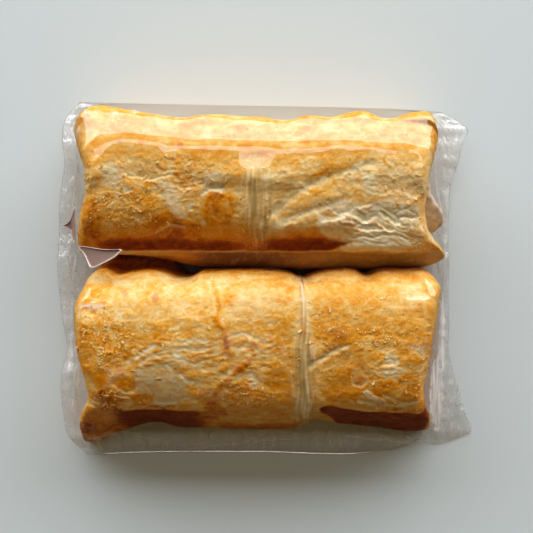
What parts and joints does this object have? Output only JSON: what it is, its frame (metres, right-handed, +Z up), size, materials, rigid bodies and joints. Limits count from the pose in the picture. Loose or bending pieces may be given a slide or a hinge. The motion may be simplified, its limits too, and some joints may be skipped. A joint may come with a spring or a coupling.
{
  "type": "sausage roll",
  "caption": "Baked golden sausage rolls side by side in a sealed bag of clear film with a crimped seal at each end, lying flat.",
  "frame": {"origin": "middle of the base, on the table the pack lies on", "axes": "+X along the rolls towards the seal with the two ears, +Y across them, +Z up"},
  "size_m": [0.1802, 0.1559, 0.0442],
  "materials": {
    "pastry": "baked puff pastry, golden and flaky, browner along the edges, satin from its glaze",
    "sausage_meat": "cooked minced sausage meat, matt with a slight fat sheen",
    "clear_film": "thin clear packing film, glossy, crinkled at the seals"
  },
  "bodies": {
    "root": {"clear_bag": "pastry"}
  },
  "joints": []
}
